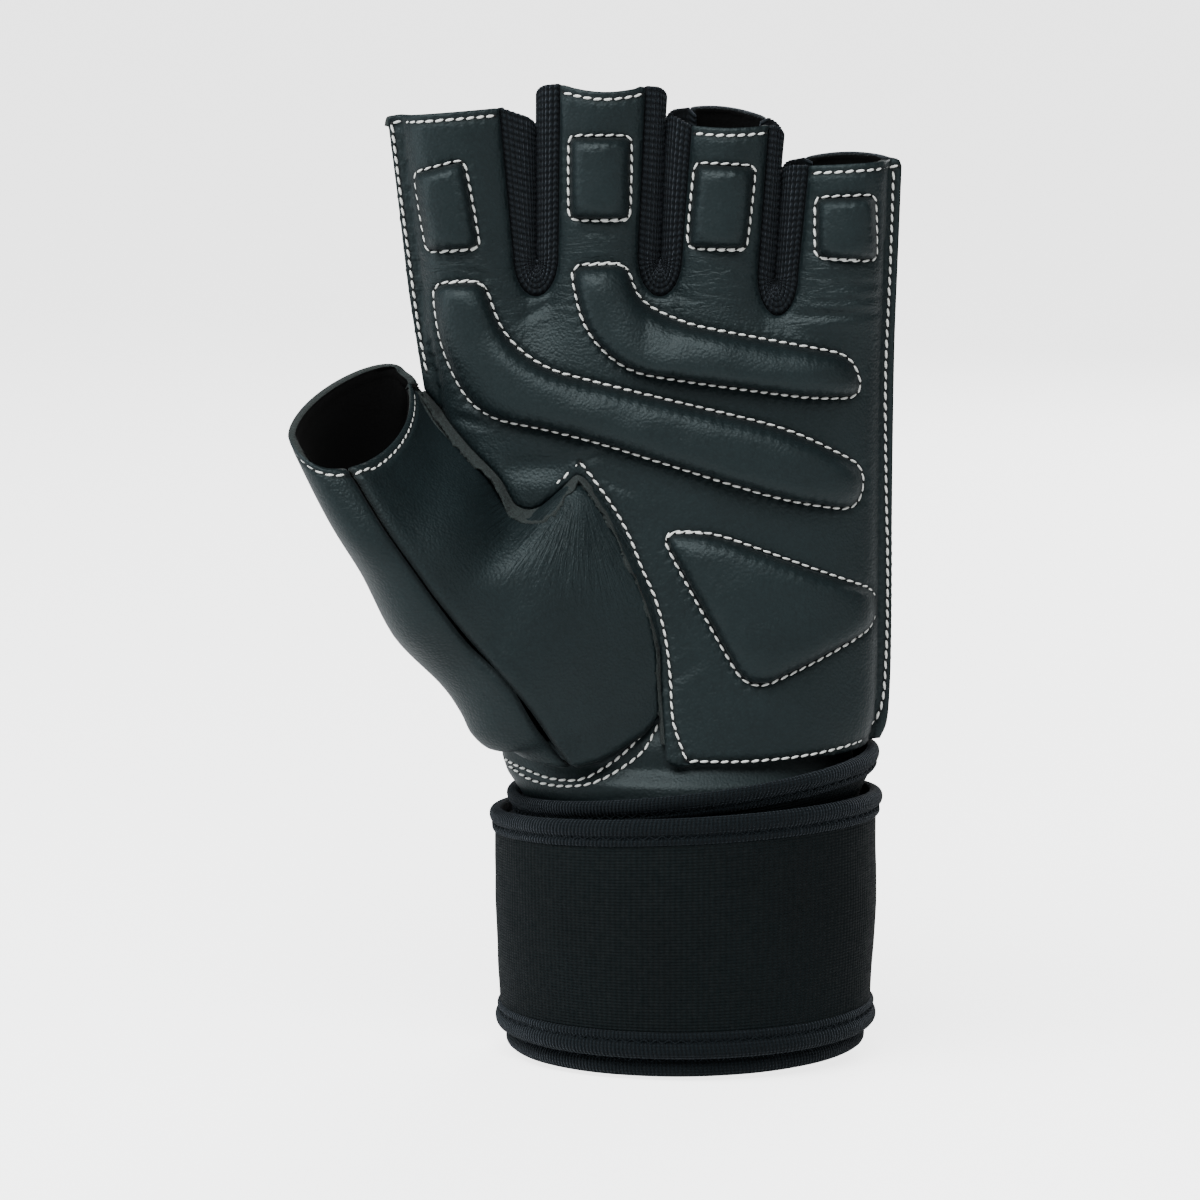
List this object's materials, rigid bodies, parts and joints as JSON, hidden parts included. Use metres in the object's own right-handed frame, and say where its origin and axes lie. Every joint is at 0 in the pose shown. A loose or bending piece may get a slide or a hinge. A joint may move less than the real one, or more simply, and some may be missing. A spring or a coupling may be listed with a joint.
{
  "type": "weightlifting glove",
  "caption": "Fingerless padded leather glove with knitted finger sides, a short thumb stall and a wound wrist wrap, in its worn form.",
  "frame": {"origin": "centre of the cuff's lower opening, where the wrist goes in", "axes": "+Z along the hand towards the fingertips, -Y out of the palm, +X towards the little-finger side"},
  "size_m": [0.1223, 0.0707, 0.1975],
  "materials": {
    "leather": "semi-matte grained leather, dark green grey",
    "back_fabric": "plain black stretch fabric",
    "knit": "matte ribbed knit, near black",
    "wrap": "matte fine-ribbed elastic, near black",
    "binding": "matte knitted edge binding, blue black",
    "thread": "white sewing thread"
  },
  "bodies": {
    "root": {"palm_panel": "leather", "back_panel": "back_fabric", "fourchette_index_middle": "knit", "fourchette_middle_ring": "knit", "fourchette_ring_little": "knit", "finger_pad_index": "leather", "finger_pad_middle": "leather", "finger_pad_ring": "leather", "finger_pad_little": "leather", "palm_bar_upper": "leather", "palm_bar_lower": "leather", "heel_pad": "leather", "thumb_front": "leather", "thumb_back": "leather", "wrist_band": "leather", "wrap_strap": "wrap", "wrap_binding_top": "binding", "wrap_binding_bottom": "binding", "wrap_tab": "wrap"}
  },
  "joints": []
}
